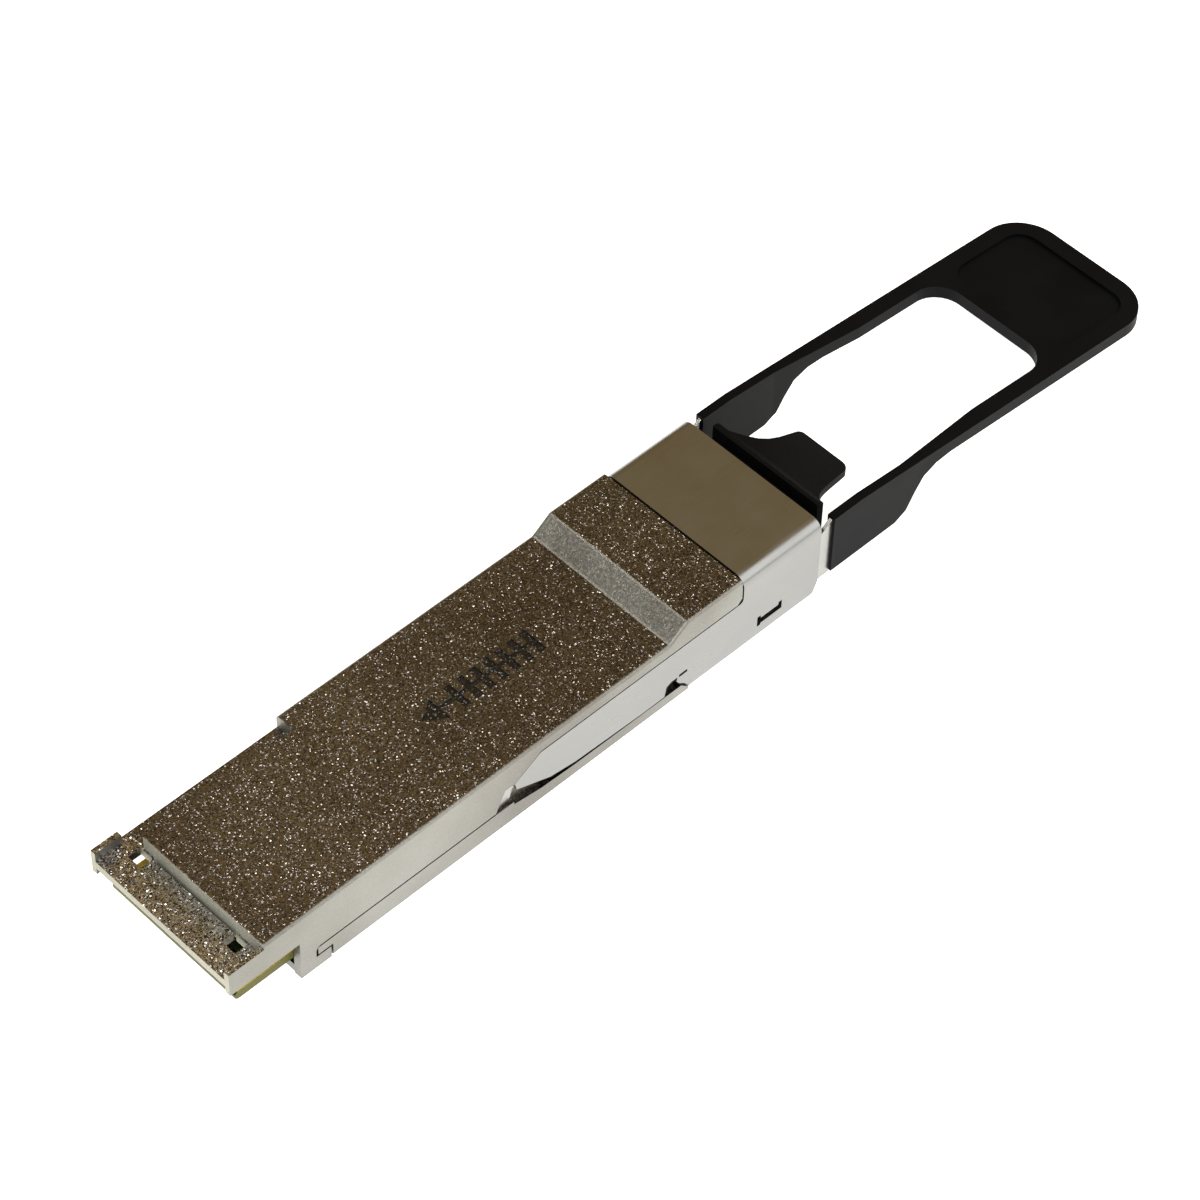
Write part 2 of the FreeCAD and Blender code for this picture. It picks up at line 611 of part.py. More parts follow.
def make_pull_tab():
    """Moulded finger loop whose arms grip the slider's blades."""
    body = new_body("pull_tab")
    end = size.total_length
    low_end = size.tab_top - size.tab_droop
    run = end.value - 78
    add(body, "side", [
        (size.tab_start, 1.9), (83.0, 1.9), (84.5, 2.6), (85.5, 4.3), (86.6, 5.8), (88.3, 6.5), (90.3, 6.6),
        (end, low_end - size.rail_thickness), (end, low_end), (78, size.tab_top), (size.tab_start, size.tab_top),
    ], -size.tab_half_width, size.tab_half_width)
    cut(body, "top", [
        (70, -8.2), (84, -8.2), (95, -7.4), (106.3, -7.4),
        (106.3, 7.4), (95, 7.4), (84, 8.2), (70, 8.2),
    ], 0, 12)
    soften(body, "PartDesign::Fillet", upright_at([(106.3, 7.4)]), 3.0)
    soften(body, "PartDesign::Fillet", upright_at([(end, size.tab_half_width)]), 4.5)
    pad_floor = [size.tab_top - size.tab_droop * ((x - 78) / run) - 0.3 for x in (107.7, 118.4)]
    cut(body, "side", [(107.7, pad_floor[0]), (118.4, pad_floor[1]), (118.4, 10), (107.7, 10)], -7.3, 7.3)
    soften(body, "PartDesign::Fillet", upright_at([(107.7, 7.3), (118.4, 7.3)]), 2.2)
    cut_both_sides(body, "side", box_outline(74, 79, 3.0, 8.0), size.slider_inner, size.slider_outer)
    return body


def make_dust_plug():
    """Soft plug: hollow nose in the port, flange, finger plate and a waisted sloping grip."""
    body = new_body("dust_plug")
    wide = size.plug_half_width
    add(body, "top", box_outline(72.45, 73.1, -wide, wide), 1.2, 8.7)
    add(body, "top", box_outline(73.0, 74.5, -5.6, 5.6), 2.2, 7.4)
    add(body, "top", box_outline(74.4, 75.2, -6.7, 7.1), 1.9, 9.0)
    add(body, "top", [
        (75.1, -6.2), (75.8, -5.65), (76.5, -5.3), (77.2, -5.05), (78.5, -4.7), (79.9, -4.35), (81.9, -3.85),
        (81.9, 2.6), (80.5, 2.7), (79.1, 2.8), (78.0, 3.05), (77.05, 3.55), (76.2, 4.4), (75.1, 6.0),
    ], 5.0, 9.0)
    soften(body, "PartDesign::Fillet", upright_at([(81.9, 3.85)]), 1.3)
    soften(body, "PartDesign::Fillet", upright_at([(81.9, 2.6)]), 0.6)
    cut(body, "side", [(74.8, 9.1), (74.8, 9.0), (75.3, 8.75), (82, 6.4), (82, 9.1)], -7.2, 7.2)
    cut(body, "side", [(75.2, 4.9), (75.2, 7.7), (76.5, 7.4), (82, 5.5), (82, 4.9)], -6.5, 6.5)
    add(body, "top", box_outline(66.5, 72.6, -5.9, 5.9), 2.15, 8.35)
    cut(body, "end", box_outline(-4.95, 4.95, 2.9, 7.6), 66, 71.5)
    return body


def make_return_spring(label, side):
    """Coil spring that pushes the slider back after the tab is let go."""
    helix = doc.addObject("Part::Helix", label + "_path")
    helix.setExpression("Pitch", size.spring_pitch.text)
    helix.setExpression("Height", size.spring_length.text)
    helix.setExpression("Radius", size.spring_radius.text)
    wire = doc.addObject("Part::Circle", label + "_wire")
    wire.setExpression("Radius", size.spring_wire.text)
    wire.Placement.Rotation = FreeCAD.Rotation(FreeCAD.Vector(1, 0, 0), 90)
    wire.setExpression("Placement.Base.x", size.spring_radius.text)
    sweep = doc.addObject("Part::Sweep", label)
    sweep.Sections = [wire]
    sweep.Spine = (helix, [])
    sweep.Solid = True
    sweep.Frenet = True
    sweep.Label = label
    sweep.Placement.Rotation = FreeCAD.Rotation(FreeCAD.Vector(0, 1, 0), 90)
    for axis, place in (("x", dim(62.2) + FRAME_SHIFT), ("y", dim(7.45 * side)), ("z", dim(1.95))):
        sweep.setExpression("Placement.Base." + axis, place.text)
    SUB_PARTS.append(sweep)
    doc.recompute()
    return sweep


make_top_shell()
make_bottom_shell()
make_front_sleeve()
make_shell_screws()
single_block("info_label", 18.1, 45.9, -6.9, 6.9, 0.02, 0.12)
make_paddle_card()
make_contact_pads()
single_block("microcontroller", 20, 25, -2.5, 2.5, size.card_high, size.card_high + 0.9)
single_block("voltage_regulator", 27, 29.5, 3, 5.5, size.card_high, size.card_high + 1.0)
single_block("laser_driver", 37.6, 40.6, 0.7, 3.7, size.card_high, size.card_high + 0.6)
single_block("receiver_amplifier", 37.6, 40.6, -3.7, -0.7, size.card_high, size.card_high + 0.6)
make_chip_capacitors()
single_block("laser_array", 42.8, 43.2, 0.3, 2.5, size.card_high, size.card_high + 0.2)
single_block("detector_array", 42.8, 43.2, -2.5, -0.3, size.card_high, size.card_high + 0.2)
make_lens_block()
single_block("thermal_pad", 41.5, 43.0, -3.6, 3.6, size.card_high + 2.4, size.roof_under)
make_fibre_ribbon()
make_ferrule()
make_ferrule_holder()
make_guide_pins()
make_port_receptacle()
make_emi_gasket()
make_latch_slider()
make_pull_tab()
make_return_spring("return_spring_left", 1)
make_return_spring("return_spring_right", -1)
make_dust_plug()
doc.recompute()

for item in doc.Objects:
    if "Invalid" in item.State or "Error" in item.State:
        raise RuntimeError("%s did not compute" % item.Label)
for part in SUB_PARTS:
    if part.Shape.isNull() or not part.Shape.isValid():
        raise RuntimeError("%s has a bad shape" % part.Label)

os.makedirs("parts", exist_ok=True)
for part in SUB_PARTS:
    part.Shape.exportStep("parts/%s.step" % part.Label)
    box = part.Shape.BoundBox
    print("%-20s solids %2d volume %8.2f x %7.2f %7.2f z %6.2f %6.2f"
          % (part.Label, len(part.Shape.Solids), part.Shape.Volume, box.XMin, box.XMax, box.ZMin, box.ZMax))
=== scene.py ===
# %% [markdown]
# # An optical transceiver module, dressed for the camera
#
# The solid model comes from CAD and is loaded as a fixed frame. This lesson adds what CAD leaves out:
# the finish of each part, springs wound again as tubes, a floor, lights and a camera. The moulded and folded
# shapes are already true in CAD, so only the springs are replaced.
# Everything is in metres, in the same frame as the CAD model, so nothing has to be fitted.

import math

import bpy
import numpy as np
from mathutils import Matrix, Vector


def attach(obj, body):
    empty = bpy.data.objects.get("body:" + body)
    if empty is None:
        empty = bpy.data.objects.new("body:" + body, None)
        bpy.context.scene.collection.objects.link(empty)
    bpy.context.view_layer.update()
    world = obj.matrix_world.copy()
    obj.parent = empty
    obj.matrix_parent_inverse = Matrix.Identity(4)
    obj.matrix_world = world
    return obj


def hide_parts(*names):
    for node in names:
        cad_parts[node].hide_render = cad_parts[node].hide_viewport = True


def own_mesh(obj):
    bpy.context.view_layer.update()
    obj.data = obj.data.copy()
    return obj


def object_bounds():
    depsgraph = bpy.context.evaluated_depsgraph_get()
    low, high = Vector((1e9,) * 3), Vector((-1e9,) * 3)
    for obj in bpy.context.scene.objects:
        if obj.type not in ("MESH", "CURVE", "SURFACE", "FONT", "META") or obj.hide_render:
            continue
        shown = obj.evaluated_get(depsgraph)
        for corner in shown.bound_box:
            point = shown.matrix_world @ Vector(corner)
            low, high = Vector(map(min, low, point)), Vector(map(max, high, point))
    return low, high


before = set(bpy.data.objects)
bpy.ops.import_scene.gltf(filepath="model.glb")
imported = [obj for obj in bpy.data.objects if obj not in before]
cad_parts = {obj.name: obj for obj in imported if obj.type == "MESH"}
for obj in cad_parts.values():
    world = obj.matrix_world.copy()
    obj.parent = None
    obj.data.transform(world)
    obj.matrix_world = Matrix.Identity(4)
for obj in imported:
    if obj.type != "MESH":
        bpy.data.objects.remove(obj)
cad_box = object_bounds()
print("nodes:", len(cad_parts), "CAD box:", cad_box)

# %% [markdown]
# ## Small helpers for materials
#
# Colours are easier to choose as the hex values of a paint chart, but the renderer works in linear
# light, so one function converts them, and another gives a darker or lighter version of a colour. A
# third adds one shader node with its settings and links, which keeps every material below short
# enough to read at a glance. The last two start a material and put it on CAD nodes.

# %% Colour and node helpers
MM = 0.001


def linear(hex_colour, alpha=1.0):
    """sRGB hex to linear: values up to 0.04045 are divided by 12.92, the rest follow a 2.4 power curve."""
    parts = [int(hex_colour[i:i + 2], 16) / 255 for i in (1, 3, 5)]
    return [c / 12.92 if c <= 0.04045 else ((c + 0.055) / 1.055) ** 2.4 for c in parts] + [alpha]


def shade_of(hex_colour, factor, lift=0):
    """Each channel of a hex colour times the factor, cut to a whole number, plus the lift, at most 255."""
    parts = [int(int(hex_colour[i:i + 2], 16) * factor) + lift for i in (1, 3, 5)]
    return "#%02X%02X%02X" % tuple(min(255, part) for part in parts)


def add_node(tree, kind, inputs=None, ramp=None, **settings):
    """Add one node: inputs are values or output sockets, ramp has (position, hex) stops."""
    made = tree.nodes.new(kind)
    for name, value in settings.items():
        setattr(made, name, value)
    if ramp:
        stops = made.color_ramp.elements
        while len(stops) < len(ramp):
            stops.new(0.5)
        for stop, (position, colour) in zip(stops, ramp):
            stop.position = position
            stop.color = linear(colour)
    for name, value in (inputs or {}).items():
        if isinstance(value, bpy.types.NodeSocket):
            tree.links.new(value, made.inputs[name])
        else:
            made.inputs[name].default_value = value
    return made


def new_material(name, hex_colour, metallic, roughness, **sockets):
    """Start a material with a plain colour, metalness and roughness; return it, its tree and its shader."""
    material = bpy.data.materials.new(name)
    material.use_nodes = True
    tree = material.node_tree
    shader = tree.nodes["Principled BSDF"]
    shader.inputs["Base Color"].default_value = linear(hex_colour)
    shader.inputs["Metallic"].default_value = metallic
    shader.inputs["Roughness"].default_value = roughness
    for name_of_socket, value in sockets.items():
        shader.inputs[name_of_socket.replace("_", " ")].default_value = value
    return material, tree, shader


def dress(material, *names):
    """Give a material to CAD nodes by putting it in every slot they have."""
    for name in names:
        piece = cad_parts[name]
        if not piece.material_slots:
            piece.data.materials.append(material)
        for slot in piece.material_slots:
            slot.material = material
    print(material.name, "->", ", ".join(names))


print("mid grey #808080 in linear light:", round(linear("#808080")[0], 3))

# %% [markdown]
# ## Blasted nickel plate on zinc
#
# The two shells are zinc die castings, plated with nickel. Only the level faces are bead-blasted: there
# a field of shallow dents tips small patches of mirror each its own way. Most patches mirror a dim
# part of the room, so the face looks a dull grey-brown, and the few that happen to face a lamp shine
# as white pinpoints. The low land at the card edge is blasted harder, so it sparkles more, and its
# step is left matt and painted a lighter colour, a painted highlight that stands for the light on it.
# The other upright and sloping faces are left as cast, which is lighter and smoother.
# A bump map of fine noise is the usual way to roughen a face, but its glints are soft. Here cell noise
# gives each dent one random direction, and adding a little of it to the surface direction turns the
# whole patch, so its glint is crisp.

# %% Dents of the blasted faces
DENT = 0.12 * MM  # a real dent is often finer than this, and is drawn this coarse so that it shows
CAST_SHARE = 0.35  # how much of the tilt is left on a face that stayed as cast


def turn_dents(tree, place, flat, blasted, tilt):
    """Surface direction plus tilt times (the dent's random vector minus one half), made 1 long again."""
    dents = add_node(tree, "ShaderNodeTexVoronoi", {"Vector": place, "Scale": 1 / DENT, "Randomness": 1.0})
    lean = add_node(tree, "ShaderNodeVectorMath", {
        0: dents.outputs["Color"], 1: (tilt,) * 3, 2: (-tilt / 2,) * 3}, operation="MULTIPLY_ADD")
    share = add_node(tree, "ShaderNodeMapRange", {"Value": blasted, "To Min": CAST_SHARE, "To Max": 1.0})
    scaled = add_node(tree, "ShaderNodeVectorMath", {
        0: lean.outputs["Vector"], "Scale": share.outputs["Result"]}, operation="SCALE")
    turned = add_node(tree, "ShaderNodeVectorMath", {0: flat, 1: scaled.outputs["Vector"]}, operation="ADD")
    facet = add_node(tree, "ShaderNodeVectorMath", {0: turned.outputs["Vector"]}, operation="NORMALIZE")
    one_value = add_node(tree, "ShaderNodeSeparateColor", {"Color": dents.outputs["Color"]})
    return facet.outputs["Vector"], one_value.outputs["Red"]


print("dents across one millimetre:", round(MM / DENT, 1))

# %% Colours of the shells
DARKEST_DENT = 0.5  # of the blasted colour
CLOUD = 18 * MM  # size of the patches of faint tarnish


def nickel_colour(tree, place, one_value, blasted, on_land, step, blasted_hex, cast_hex):
    """A tone for each dent, livelier on the land, or the cast colour, lighter on the step as a painted
    highlight; all times a faint broad tarnish.
    """
    dull = add_node(tree, "ShaderNodeValToRGB", {"Fac": one_value}, ramp=[
        (0.1, shade_of(blasted_hex, DARKEST_DENT)), (0.9, blasted_hex)])
    lively = add_node(tree, "ShaderNodeValToRGB", {"Fac": one_value}, ramp=[
        (0.1, "#35322E"), (0.9, "#F0F0F4")])
    dented = add_node(tree, "ShaderNodeMix", {
        "Factor": on_land, "A": dull.outputs["Color"], "B": lively.outputs["Color"]}, data_type="RGBA")
    # The step's lighter colour is painted light: a painted highlight for light that falls on that wall.
    cast_or_painted_step = add_node(tree, "ShaderNodeValToRGB", {"Fac": step}, ramp=[(0.0, cast_hex), (1.0, "#CFCFC2")])
    finish = add_node(tree, "ShaderNodeMix", {
        "Factor": blasted, "A": cast_or_painted_step.outputs["Color"], "B": dented.outputs["Result"]}, data_type="RGBA")
    cloud = add_node(tree, "ShaderNodeTexNoise", {"Vector": place, "Scale": 1 / CLOUD, "Detail": 3.0})
    tarnish = add_node(tree, "ShaderNodeValToRGB", {"Fac": cloud.outputs["Fac"]}, ramp=[
        (0.35, "#D8D5D2"), (0.65, "#FFFFFF")])
    tarnished = add_node(tree, "ShaderNodeMix", {
        "Factor": 1.0, "A": finish.outputs["Result"], "B": tarnish.outputs["Color"]},
        data_type="RGBA", blend_type="MULTIPLY")
    return tarnished.outputs["Result"]


print("a dent's tones: from", shade_of("#9A9590", DARKEST_DENT), "to #9A9590")

# %% Blasted nickel material
LEVEL_FROM, LEVEL_FULL = 0.97, 0.995  # a face's upright part, where blasting starts and is full
LAND_END, LAND_FADE = cad_box[0][0] + 4.1 * MM, 0.1 * MM
LOOKS_BACK = -0.5  # a face with less than this along X looks back to the card edge
CAST_ROUGHNESS, STEP_ROUGHNESS, DENT_ROUGHNESS = 0.42, 0.75, 0.2


def blasted_nickel(name, blasted_hex, cast_hex, tilt):
    """Blasted where a face is level, as cast elsewhere; the step is the face on the land that looks back."""
    material, tree, shader = new_material(name, cast_hex, 1.0, CAST_ROUGHNESS)
    place = add_node(tree, "ShaderNodeTexCoord").outputs["Object"]
    flat = add_node(tree, "ShaderNodeNewGeometry").outputs["Normal"]
    slopes = add_node(tree, "ShaderNodeSeparateXYZ", {"Vector": flat})
    upright = add_node(tree, "ShaderNodeMath", {0: slopes.outputs["Z"]}, operation="ABSOLUTE")
    blasted = add_node(tree, "ShaderNodeMapRange", {
        "Value": upright.outputs[0], "From Min": LEVEL_FROM, "From Max": LEVEL_FULL}).outputs["Result"]
    along = add_node(tree, "ShaderNodeSeparateXYZ", {"Vector": place}).outputs["X"]
    on_land = add_node(tree, "ShaderNodeMapRange", {
        "Value": along, "From Min": LAND_END + LAND_FADE, "From Max": LAND_END}).outputs["Result"]
    rearward = add_node(tree, "ShaderNodeMath", {
        0: slopes.outputs["X"], 1: LOOKS_BACK}, operation="LESS_THAN")
    step = add_node(tree, "ShaderNodeMath", {
        0: on_land, 1: rearward.outputs[0]}, operation="MULTIPLY").outputs[0]
    facet, one_value = turn_dents(tree, place, flat, blasted, tilt)
    colour = nickel_colour(tree, place, one_value, blasted, on_land, step, blasted_hex, cast_hex)
    matt = add_node(tree, "ShaderNodeMapRange", {
        "Value": step, "To Min": CAST_ROUGHNESS, "To Max": STEP_ROUGHNESS})
    rough = add_node(tree, "ShaderNodeMapRange", {
        "Value": blasted, "To Min": matt.outputs["Result"], "To Max": DENT_ROUGHNESS})
    tree.links.new(facet, shader.inputs["Normal"])
    tree.links.new(colour, shader.inputs["Base Color"])
    tree.links.new(rough.outputs["Result"], shader.inputs["Roughness"])
    return material, tree, shader, place


nickel_top, *parts_of_top = blasted_nickel("blasted_nickel_plate", "#9A9590", "#96958F", 0.6)
nickel_base = blasted_nickel("blasted_nickel_plate_lower", "#8F8B83", "#96958F", 0.5)[0]
dress(nickel_top, "top_shell")
dress(nickel_base, "bottom_shell")

# %% [markdown]
# ## Enamel in the engraved arrow
#
# The arrow on the top is engraved and filled with matt black enamel. Its floor could be a piece of its
# own, but it is part of the casting, so the colour is laid on by place: only the arrow's floor is both
# near its middle and that little below the top.

# %% Enamel
MARK_MIDDLE = (-22.75 * MM, -0.2 * MM, 8.38 * MM)
MARK_REACH = (7.4 * MM, 1.8 * MM, 0.04 * MM)


def fill_mark(tree, shader, place):
    """Enamel, which is no metal, where all three coordinates are within reach of the floor's middle."""
    apart = add_node(tree, "ShaderNodeSeparateXYZ", {"Vector": place})
    inside = 1.0
    for axis, middle, reach in zip("XYZ", MARK_MIDDLE, MARK_REACH):
        close = add_node(tree, "ShaderNodeMath", {
            0: apart.outputs[axis], 1: middle, 2: reach}, operation="COMPARE")
        inside = add_node(tree, "ShaderNodeMath", {
            0: inside, 1: close.outputs[0]}, operation="MULTIPLY").outputs[0]
    metal_colour = shader.inputs["Base Color"].links[0].from_socket
    filled = add_node(tree, "ShaderNodeMix", {
        "Factor": inside, "A": metal_colour, "B": linear("#0B0A09")}, data_type="RGBA")
    bare = add_node(tree, "ShaderNodeMath", {0: 1.0, 1: inside}, operation="SUBTRACT")
    tree.links.new(filled.outputs["Result"], shader.inputs["Base Color"])
    tree.links.new(bare.outputs[0], shader.inputs["Metallic"])


fill_mark(*parts_of_top)
print("arrow's floor at z mm:", round(MARK_MIDDLE[2] / MM, 2))

# %% [markdown]
# ## Rolled stainless sheet
#
# The front sleeve and the latch slider are folded from cold-rolled stainless sheet. Rolling leaves
# very fine lines one way and a smooth, slightly warm mirror that is only a little blurred. A shader
# with a blur that differs by direction could stand for the lines, but none of them would show. Here
# stretched noise, long along the module and short across it, draws them in height and roughness.

# %% Rolled sheet material
ROLLING_LINE = 0.12 * MM  # real rolling lines are finer, and are drawn this coarse so that they show
STRETCH = 30
SMUDGE = 5 * MM


def rolled_sheet(name, hex_colour, roughness):
    """Noise stretched STRETCH to 1 along X gives rolling lines; it shifts roughness and height a little."""
    material, tree, shader = new_material(name, hex_colour, 1.0, roughness)
    place = add_node(tree, "ShaderNodeTexCoord").outputs["Object"]
    stretched = add_node(tree, "ShaderNodeMapping", {"Vector": place, "Scale": (1 / STRETCH, 1.0, 1.0)})
    lines = add_node(tree, "ShaderNodeTexNoise", {
        "Vector": stretched.outputs["Vector"], "Scale": 1 / ROLLING_LINE, "Detail": 3.0})
    smudge = add_node(tree, "ShaderNodeTexNoise", {"Vector": place, "Scale": 1 / SMUDGE, "Detail": 2.0})
    both = add_node(tree, "ShaderNodeMath", {
        0: lines.outputs["Fac"], 1: smudge.outputs["Fac"]}, operation="ADD")
    rough = add_node(tree, "ShaderNodeMapRange", {
        "Value": both.outputs[0], "From Min": 0.6, "From Max": 1.4,
        "To Min": roughness - 0.05, "To Max": roughness + 0.07})
    bump = add_node(tree, "ShaderNodeBump", {
        "Height": lines.outputs["Fac"], "Strength": 0.08, "Distance": 0.02 * MM})
    tree.links.new(rough.outputs["Result"], shader.inputs["Roughness"])
    tree.links.new(bump.outputs["Normal"], shader.inputs["Normal"])
    return material


dress(rolled_sheet("rolled_stainless_sheet", "#929290", 0.3), "front_sleeve")
dress(rolled_sheet("stamped_stainless_latch", "#A5A5A1", 0.28), "latch_slider", "ferrule_holder",
      "guide_pins", "shell_screws")

# %% [markdown]
# ## The two return springs
#
# A coil spring sits in a pocket on each side and is pressed shorter when the tab is pulled. A solid
# from CAD keeps its shape, so the slider would run through it. Here each spring is worked out again as
# a tube wound on the same helix and stands in for the CAD one. A curve with a round bevel would do as
# well; a formula keeps the mesh light. The wire ends are closed with a cap.

# %% Return springs
COIL_START, COIL_LENGTH, COIL_PITCH = 2.0 * MM, 7.0 * MM, 0.8 * MM
COIL_RADIUS, WIRE_RADIUS = 0.55 * MM, 0.1 * MM
SPRING_SIDE, SPRING_HEIGHT = 7.45 * MM, 1.95 * MM
RINGS, CORNERS = 211, 10  # along the wire, and round it


def wound_tube(name, side):
    """Centre line (start + pitch a / 2 pi, R sin a, -R cos a); a ring adds r (cos b outwards + sin b in X)."""
    turn = np.linspace(0, 2 * np.pi * COIL_LENGTH / COIL_PITCH, RINGS)[:, None]
    around = np.linspace(0, 2 * np.pi, CORNERS, endpoint=False)[None, :]
    reach = COIL_RADIUS + WIRE_RADIUS * np.cos(around)
    x = COIL_START + COIL_PITCH * turn / (2 * np.pi) + WIRE_RADIUS * np.sin(around)
    y = SPRING_SIDE * side + reach * np.sin(turn)
    z = SPRING_HEIGHT - reach * np.cos(turn)
    points = np.stack([x, y, z], axis=-1).reshape(-1, 3)
    ring = np.arange(RINGS - 1)[:, None] * CORNERS
    corner = np.arange(CORNERS)[None, :]
    first, after = ring + corner, ring + (corner + 1) % CORNERS
    quads = np.stack([first, first + CORNERS, after + CORNERS, after], axis=-1).reshape(-1, 4)
    start_cap = list(range(CORNERS))
    end_cap = list(range(len(points) - 1, len(points) - 1 - CORNERS, -1))
    mesh = bpy.data.meshes.new(name)
    mesh.from_pydata(points.tolist(), [], quads.tolist() + [start_cap, end_cap])
    mesh.shade_smooth()
    piece = bpy.data.objects.new(name, mesh)
    bpy.context.scene.collection.objects.link(piece)
    return piece


spring_wire = rolled_sheet("drawn_stainless_wire", "#9C9C98", 0.25)
for side, node in ((1, "return_spring_left"), (-1, "return_spring_right")):
    spring = wound_tube(node + "_coil", side)
    spring.data.materials.append(spring_wire)
    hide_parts(node)
    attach(spring, "housing")
    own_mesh(spring)

# %% [markdown]
# ## Moulded black plastics
#
# The pull tab is a slightly flexible moulding with a fine spark-eroded texture, and the dust plug is a
# softer, rubbery one. Both are dark grey rather than pure black, and the texture is what gives them
# their soft grey edge. Cutting its pits into the mesh would take millions of faces, so fine noise makes
# the texture in the shader, and a broad one makes handling marks. The other moulded, cast and sawn
# parts take the same recipe, each with its own size of texture.

# %% Moulded plastic material
HANDLING_MARK = 6 * MM
HANDLED_TONE = (1.3, 3)  # where it was handled, each channel is times the first, plus the second


def moulded(name, hex_colour, roughness, texture_mm, depth_mm, strength=0.3, shine=0.5):
    """Fine noise of the given size and depth in height; broad noise in roughness and tone."""
    material, tree, shader = new_material(
        name, hex_colour, 0.0, roughness, IOR=1.5, Specular_IOR_Level=shine)
    place = add_node(tree, "ShaderNodeTexCoord").outputs["Object"]
    fine = add_node(tree, "ShaderNodeTexNoise", {
        "Vector": place, "Scale": 1 / (texture_mm * MM), "Detail": 2.0})
    broad = add_node(tree, "ShaderNodeTexNoise", {
        "Vector": place, "Scale": 1 / HANDLING_MARK, "Detail": 3.0})
    tone = add_node(tree, "ShaderNodeValToRGB", {"Fac": broad.outputs["Fac"]}, ramp=[
        (0.35, hex_colour), (0.7, shade_of(hex_colour, *HANDLED_TONE))])
    rough = add_node(tree, "ShaderNodeMapRange", {
        "Value": broad.outputs["Fac"], "To Min": roughness - 0.06, "To Max": roughness + 0.08})
    bump = add_node(tree, "ShaderNodeBump", {
        "Height": fine.outputs["Fac"], "Strength": strength, "Distance": depth_mm * MM})
    tree.links.new(tone.outputs["Color"], shader.inputs["Base Color"])
    tree.links.new(rough.outputs["Result"], shader.inputs["Roughness"])
    tree.links.new(bump.outputs["Normal"], shader.inputs["Normal"])
    return material


dress(moulded("textured_black_elastomer", "#060709", 0.5, 0.22, 0.02, 0.3, 0.07), "pull_tab")
dress(moulded("soft_black_plug_rubber", "#08090A", 0.6, 0.3, 0.03, 0.4, 0.07), "dust_plug")
dress(moulded("moulded_port_plastic", "#232323", 0.45, 0.2, 0.01), "port_receptacle", "ferrule")
dress(moulded("epoxy_chip_package", "#191919", 0.5, 0.1, 0.008), "microcontroller",
      "voltage_regulator", "laser_driver", "receiver_amplifier")
dress(moulded("grey_conductive_elastomer", "#4A4A4A", 0.7, 0.15, 0.02), "emi_gasket")
dress(moulded("thermal_silicone", "#8A97A3", 0.7, 0.3, 0.02), "thermal_pad")
dress(moulded("blank_polyester_label", "#E4E3DD", 0.45, 0.4, 0.004, 0.1), "info_label")
dress(moulded("amber_polyetherimide", "#C08A3C", 0.2, 0.5, 0.004, 0.1), "lens_block")
dress(moulded("coated_fibre_ribbon", "#4FB9C4", 0.35, 0.25, 0.01), "fibre_ribbon")
dress(moulded("ceramic_chip_body", "#8F6F4B", 0.5, 0.1, 0.01), "chip_capacitors")
dress(moulded("bare_semiconductor", "#3C3844", 0.2, 0.2, 0.002, 0.1), "laser_array", "detector_array")

# %% [markdown]
# ## The circuit card and its gold contacts
#
# The card is glass cloth in epoxy under green solder mask; its cut edges show the yellow-green core.
# The contacts are hard gold over nickel, and so is the ground strip along each long edge of the card's
# top. Solder mask over woven glass has a very faint grid. A woven mesh would never be seen as one, so a
# fine wave both ways in the colour is enough, and the strip and the edges are found by their place and
# direction.

# %% Card material
WAVE_RATE = 20  # radians that a wave texture turns through over one scaled unit
WEAVE = 2.8 * MM  # one wave takes 0.314 of this, 0.88 mm: coarser than most cloth, so that it shows
STRIP_EDGE = 7.0 * MM
FACING_UP, STANDING = 0.9, 0.5

card, tree, shader = new_material(
    "green_solder_mask", "#2B3618", 0.0, 0.4, IOR=1.55, Specular_IOR_Level=0.15)
place = add_node(tree, "ShaderNodeTexCoord").outputs["Object"]
weave_x = add_node(tree, "ShaderNodeTexWave", {"Vector": place, "Scale": 1 / WEAVE}, bands_direction="X")
weave_y = add_node(tree, "ShaderNodeTexWave", {"Vector": place, "Scale": 1 / WEAVE}, bands_direction="Y")
weave = add_node(tree, "ShaderNodeMath", {
    0: weave_x.outputs["Fac"], 1: weave_y.outputs["Fac"]}, operation="MULTIPLY")
mask = add_node(tree, "ShaderNodeValToRGB", {"Fac": weave.outputs[0]}, ramp=[
    (0.0, "#27321A"), (1.0, "#3C4420")])
print("one wave of the weave, mm:", round(2 * math.pi / WAVE_RATE * WEAVE / MM, 2))

# %% Gold strips and cut edges of the card
flat = add_node(tree, "ShaderNodeNewGeometry").outputs["Normal"]
height = add_node(tree, "ShaderNodeSeparateXYZ", {"Vector": flat}).outputs["Z"]
across = add_node(tree, "ShaderNodeSeparateXYZ", {"Vector": place}).outputs["Y"]
aside = add_node(tree, "ShaderNodeMath", {0: across}, operation="ABSOLUTE")
beside = add_node(tree, "ShaderNodeMath", {0: aside.outputs[0], 1: STRIP_EDGE}, operation="GREATER_THAN")
on_top = add_node(tree, "ShaderNodeMath", {0: height, 1: FACING_UP}, operation="GREATER_THAN")
plated = add_node(tree, "ShaderNodeMath", {
    0: beside.outputs[0], 1: on_top.outputs[0]}, operation="MULTIPLY")
striped = add_node(tree, "ShaderNodeMix", {
    "Factor": plated.outputs[0], "A": mask.outputs["Color"], "B": linear("#D9B84A")}, data_type="RGBA")
steep = add_node(tree, "ShaderNodeMath", {0: height}, operation="ABSOLUTE")
cut_edge = add_node(tree, "ShaderNodeMath", {0: steep.outputs[0], 1: STANDING}, operation="LESS_THAN")
cored = add_node(tree, "ShaderNodeMix", {
    "Factor": cut_edge.outputs[0], "A": striped.outputs["Result"], "B": linear("#57561C")},
    data_type="RGBA")
tree.links.new(cored.outputs["Result"], shader.inputs["Base Color"])
dress(card, "paddle_card")

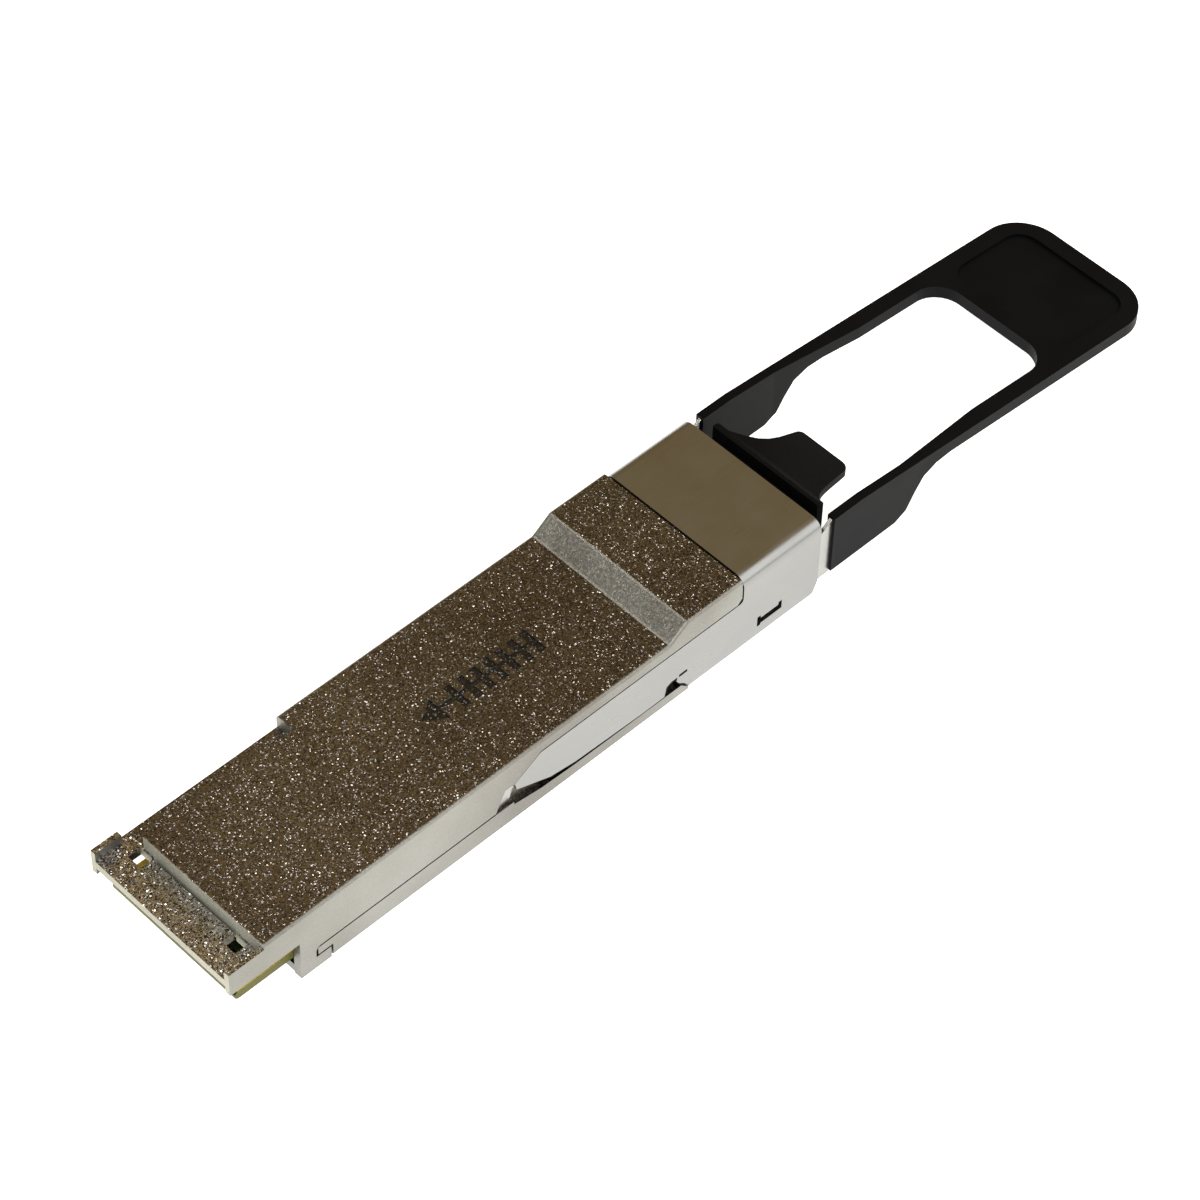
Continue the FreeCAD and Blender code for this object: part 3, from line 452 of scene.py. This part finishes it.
# %% Gold of the contacts
WIPE_MARK = 0.4 * MM

gold, tree, shader = new_material("hard_gold_plate", "#E3B65A", 1.0, 0.22)
place = add_node(tree, "ShaderNodeTexCoord").outputs["Object"]
wipe = add_node(tree, "ShaderNodeTexNoise", {"Vector": place, "Scale": 1 / WIPE_MARK, "Detail": 2.0})
rough = add_node(tree, "ShaderNodeMapRange", {"Value": wipe.outputs["Fac"], "To Min": 0.15, "To Max": 0.32})
tree.links.new(rough.outputs["Result"], shader.inputs["Roughness"])
dress(gold, "contact_pads")

# %% [markdown]
# ## Floor, lights and camera
#
# Small shiny metal is lit by what it mirrors. The flat top mirrors the part of the room beyond the
# object, which is kept dim and a little warm, so the top reads as deep grey-brown. The sides mirror
# the floor, a light table of white acrylic that glows evenly, so they read as silver and throw no
# shadow. A room picture round the world could give richer mirrors, but a plain fade is easier to steer:
# from a dim warm patch in the mirror direction to a cooler grey behind the camera. Two large soft boxes
# light everything gently. Two small spark lamps beyond the object are what the dents of the blasted
# faces pick up as points, and a third small lamp stands where the rounded edges of the ramp mirror it.

# %% Camera
AZIMUTH, ELEVATION, ROLL = math.radians(-45.27), math.radians(49.61), math.radians(1.66)
DISTANCE = 377.6 * MM
SHIFT_RIGHT, SHIFT_UP = 9.208 * MM, 8.614 * MM  # slid this far without turning, to frame the object
SENSOR_MM, LENS_MM = 36.0, 124.467
AIM_FROM_CARD_END = Vector((40.0, 0.0, 4.0)) * MM

aim = AIM_FROM_CARD_END + Vector((cad_box[0][0], 0, 0))
back = Vector((
    math.sin(AZIMUTH) * math.cos(ELEVATION), -math.cos(AZIMUTH) * math.cos(ELEVATION), math.sin(ELEVATION)))
level = Vector((math.cos(AZIMUTH), math.sin(AZIMUTH), 0.0))
upward = back.cross(level)
right = level * math.cos(ROLL) + upward * math.sin(ROLL)
top_way = upward * math.cos(ROLL) - level * math.sin(ROLL)
eye = aim + back * DISTANCE + right * SHIFT_RIGHT + top_way * SHIFT_UP

camera = bpy.data.objects.new("studio_camera", bpy.data.cameras.new("studio_camera"))
bpy.context.scene.collection.objects.link(camera)
camera.data.sensor_width = SENSOR_MM
camera.data.lens = LENS_MM
camera.data.clip_start = 0.01
camera.data.clip_end = 10.0
camera.matrix_world = Matrix((
    (right.x, top_way.x, back.x, eye.x),
    (right.y, top_way.y, back.y, eye.y),
    (right.z, top_way.z, back.z, eye.z),
    (0, 0, 0, 1),
))
bpy.context.scene.camera = camera
print("lens mm:", round(camera.data.lens, 1), "eye:", [round(c, 4) for c in eye])

# %% Floor
FLOOR_HALF = 1.5
FLOOR_GAP = 0.02 * MM  # below the object, so that the two never share a plane

floor_mesh = bpy.data.meshes.new("studio_floor")
corners = [(FLOOR_HALF * x, FLOOR_HALF * y, 0) for x, y in ((-1, -1), (1, -1), (1, 1), (-1, 1))]
floor_mesh.from_pydata(corners, [], [(0, 1, 2, 3)])
floor = bpy.data.objects.new("studio_floor", floor_mesh)
floor.location.z = cad_box[0][2] - FLOOR_GAP
bpy.context.scene.collection.objects.link(floor)
acrylic, tree, shader = new_material("light_table_acrylic", "#F4F4F2", 0.0, 0.9, Emission_Strength=0.9)
shader.inputs["Emission Color"].default_value = linear("#FFFFFF")
floor_mesh.materials.append(acrylic)
print("floor", 2 * FLOOR_HALF, "m wide, at z mm:", round(floor.location.z / MM, 2))

# %% World
world = bpy.data.worlds.new("studio_world")
bpy.context.scene.world = world
world.use_nodes = True
tree = world.node_tree
sky = tree.nodes["Background"]
ray = add_node(tree, "ShaderNodeTexCoord").outputs["Generated"]
mirror_way = Vector((-back.x, -back.y, back.z)).normalized()
facing = add_node(tree, "ShaderNodeVectorMath", {0: ray, 1: tuple(mirror_way)}, operation="DOT_PRODUCT")
shade = add_node(tree, "ShaderNodeValToRGB", {"Fac": facing.outputs["Value"]}, ramp=[
    (0.0, "#A0A2A4"), (0.35, "#85837A"), (0.75, "#93805A"), (1.0, "#A68C5C")])
tree.links.new(shade.outputs["Color"], sky.inputs["Color"])
sky.inputs["Strength"].default_value = 1.0
print("the top mirrors the room towards", [round(c, 2) for c in mirror_way])

# %% Lamps
LAMP_DISTANCE = 0.9


def soft_light(name, way, width, watts):
    """A square white area light, LAMP_DISTANCE along a direction from the origin and turned to face it."""
    data = bpy.data.lights.new(name, "AREA")
    data.shape = "SQUARE"
    data.size = width
    data.energy = watts
    lamp = bpy.data.objects.new(name, data)
    way = Vector(way).normalized()
    lamp.location = way * LAMP_DISTANCE
    lamp.rotation_mode = "QUATERNION"
    lamp.rotation_quaternion = way.to_track_quat("Z", "Y")
    bpy.context.scene.collection.objects.link(lamp)
    print(name, "of", watts, "W, at", [round(c, 2) for c in lamp.location])


soft_light("key_softbox", (-0.9, -0.9, 1.3), 0.9, 6.0)
soft_light("right_softbox", (0.9, -0.9, 0.8), 0.8, 4.0)
soft_light("spark_lamp_high", (0.02, 0.456, 0.888), 0.11, 0.65)
soft_light("edge_lamp", (-0.345, 0.456, 0.819), 0.06, 0.9)
soft_light("spark_lamp_far", (0.75, 0.1, 0.65), 0.09, 0.35)
bpy.context.scene.view_settings.view_transform = "Standard"
